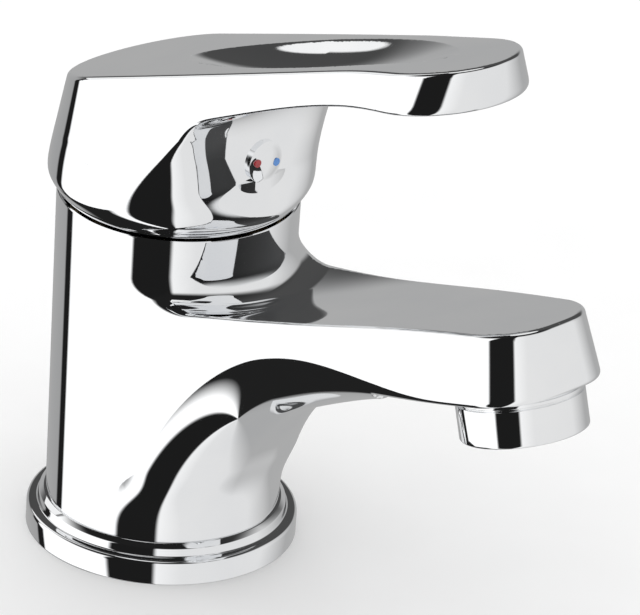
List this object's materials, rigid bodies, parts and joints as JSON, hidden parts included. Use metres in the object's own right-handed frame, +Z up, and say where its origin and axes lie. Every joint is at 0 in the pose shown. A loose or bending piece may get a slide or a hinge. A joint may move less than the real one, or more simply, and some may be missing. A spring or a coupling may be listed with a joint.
{
  "type": "basin mixer tap",
  "caption": "Single-lever basin mixer tap: round column on a base ring, rising spout with aerator, and a lever that lifts and turns.",
  "frame": {"origin": "centre of the base's underside, on the deck the tap stands on", "axes": "+Z up along the column, the spout and lever point along -Y, +X is the cold side"},
  "size_m": [0.053, 0.1343, 0.1318],
  "materials": {
    "chrome": "polished",
    "rubber": "matte",
    "ceramic": "lapped ceramic",
    "white_plastic": "moulded",
    "grey_plastic": "moulded",
    "brass": "turned",
    "steel": "turned",
    "red": "gloss",
    "blue": "gloss"
  },
  "bodies": {
    "mixer_body": {"body": "chrome", "base_ring": "chrome", "base_seal": "rubber", "cartridge_base": "grey_plastic", "port_seals": "rubber", "fixed_disc": "ceramic", "cartridge_housing": "white_plastic", "cartridge_nut": "brass", "aerator_housing": "chrome", "aerator_insert": "white_plastic", "aerator_screen": "steel", "aerator_seal": "rubber"},
    "swivel": {"turret": "white_plastic"},
    "lever": {"handle": "chrome", "lever_spindle": "steel", "pivot_pin": "steel", "handle_screw": "steel", "indicator_plug": "chrome", "hot_mark": "red", "cold_mark": "blue"},
    "mixing_disc": {"moving_disc": "ceramic", "disc_carrier": "grey_plastic"}
  },
  "joints": [
    {"name": "mix_swing", "type": "hinge", "parent": "mixer_body", "child": "swivel", "pos_m": [0, 0, 0.058], "axis": [0, 0, 1], "range_deg": [-45, 45]},
    {"name": "lever_lift", "type": "hinge", "parent": "swivel", "child": "lever", "pos_m": [0, 0, 0.091], "axis": [-1, 0, 0], "range_deg": [0, 20]},
    {"name": "disc_slide", "type": "slide", "parent": "swivel", "child": "mixing_disc", "axis": [0, -1, 0], "range_m": [0, 0.0098]}
  ],
  "couplings": [
    {"joint": "disc_slide", "follows": "lever_lift", "m_per_rad": 0.0272}
  ]
}
